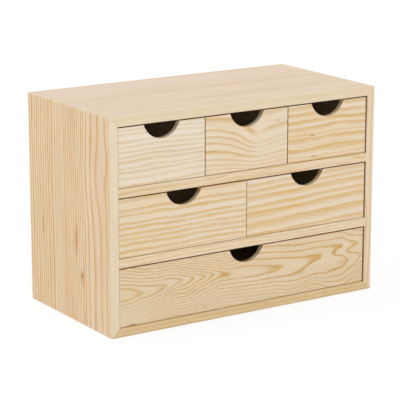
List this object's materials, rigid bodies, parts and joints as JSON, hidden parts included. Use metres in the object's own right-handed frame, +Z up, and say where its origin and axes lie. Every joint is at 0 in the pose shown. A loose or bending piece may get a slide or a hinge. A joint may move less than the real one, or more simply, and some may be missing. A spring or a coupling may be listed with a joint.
{
  "type": "desktop mini drawers",
  "caption": "Low rectangular wooden desktop drawer cabinet with mitred corners, rows of narrow, medium and full-width drawers, and a round finger notch in the top edge of each plain front.",
  "frame": {"origin": "under the middle of the cabinet, on the surface that it stands on", "axes": "+X to the right and +Y to the back as the drawers are faced, +Z up; the drawers open along -Y"},
  "size_m": [0.34, 0.176, 0.2335],
  "materials": {
    "pine": "unfinished sanded pine, straight and flat-sawn grain",
    "plywood": "unfinished three-ply sheet",
    "beech": "turned beech, glued in",
    "steel": "bright drawn steel wire"
  },
  "bodies": {
    "carcass": {"bottom_board": "pine", "right_board": "pine", "top_board": "pine", "left_board": "pine", "upper_shelf": "pine", "lower_shelf": "pine", "divider_top_left": "pine", "divider_top_right": "pine", "divider_middle": "pine", "back_panel": "plywood", "shelf_dowels": "beech", "back_panel_brads": "steel"},
    "drawer_top_left": {"drawer_top_left_front": "pine", "drawer_top_left_left_side": "pine", "drawer_top_left_right_side": "pine", "drawer_top_left_back": "pine", "drawer_top_left_base": "plywood", "drawer_top_left_brads": "steel"},
    "drawer_top_centre": {"drawer_top_centre_front": "pine", "drawer_top_centre_left_side": "pine", "drawer_top_centre_right_side": "pine", "drawer_top_centre_back": "pine", "drawer_top_centre_base": "plywood", "drawer_top_centre_brads": "steel"},
    "drawer_top_right": {"drawer_top_right_front": "pine", "drawer_top_right_left_side": "pine", "drawer_top_right_right_side": "pine", "drawer_top_right_back": "pine", "drawer_top_right_base": "plywood", "drawer_top_right_brads": "steel"},
    "drawer_middle_left": {"drawer_middle_left_front": "pine", "drawer_middle_left_left_side": "pine", "drawer_middle_left_right_side": "pine", "drawer_middle_left_back": "pine", "drawer_middle_left_base": "plywood", "drawer_middle_left_brads": "steel"},
    "drawer_middle_right": {"drawer_middle_right_front": "pine", "drawer_middle_right_left_side": "pine", "drawer_middle_right_right_side": "pine", "drawer_middle_right_back": "pine", "drawer_middle_right_base": "plywood", "drawer_middle_right_brads": "steel"},
    "drawer_bottom": {"drawer_bottom_front": "pine", "drawer_bottom_left_side": "pine", "drawer_bottom_right_side": "pine", "drawer_bottom_back": "pine", "drawer_bottom_base": "plywood", "drawer_bottom_brads": "steel"}
  },
  "joints": [
    {"name": "drawer_top_left_slide", "type": "slide", "parent": "carcass", "child": "drawer_top_left", "axis": [0, -1, 0], "range_m": [0, 0.14]},
    {"name": "drawer_top_centre_slide", "type": "slide", "parent": "carcass", "child": "drawer_top_centre", "axis": [0, -1, 0], "range_m": [0, 0.14]},
    {"name": "drawer_top_right_slide", "type": "slide", "parent": "carcass", "child": "drawer_top_right", "axis": [0, -1, 0], "range_m": [0, 0.14]},
    {"name": "drawer_middle_left_slide", "type": "slide", "parent": "carcass", "child": "drawer_middle_left", "axis": [0, -1, 0], "range_m": [0, 0.14]},
    {"name": "drawer_middle_right_slide", "type": "slide", "parent": "carcass", "child": "drawer_middle_right", "axis": [0, -1, 0], "range_m": [0, 0.14]},
    {"name": "drawer_bottom_slide", "type": "slide", "parent": "carcass", "child": "drawer_bottom", "axis": [0, -1, 0], "range_m": [0, 0.14]}
  ]
}
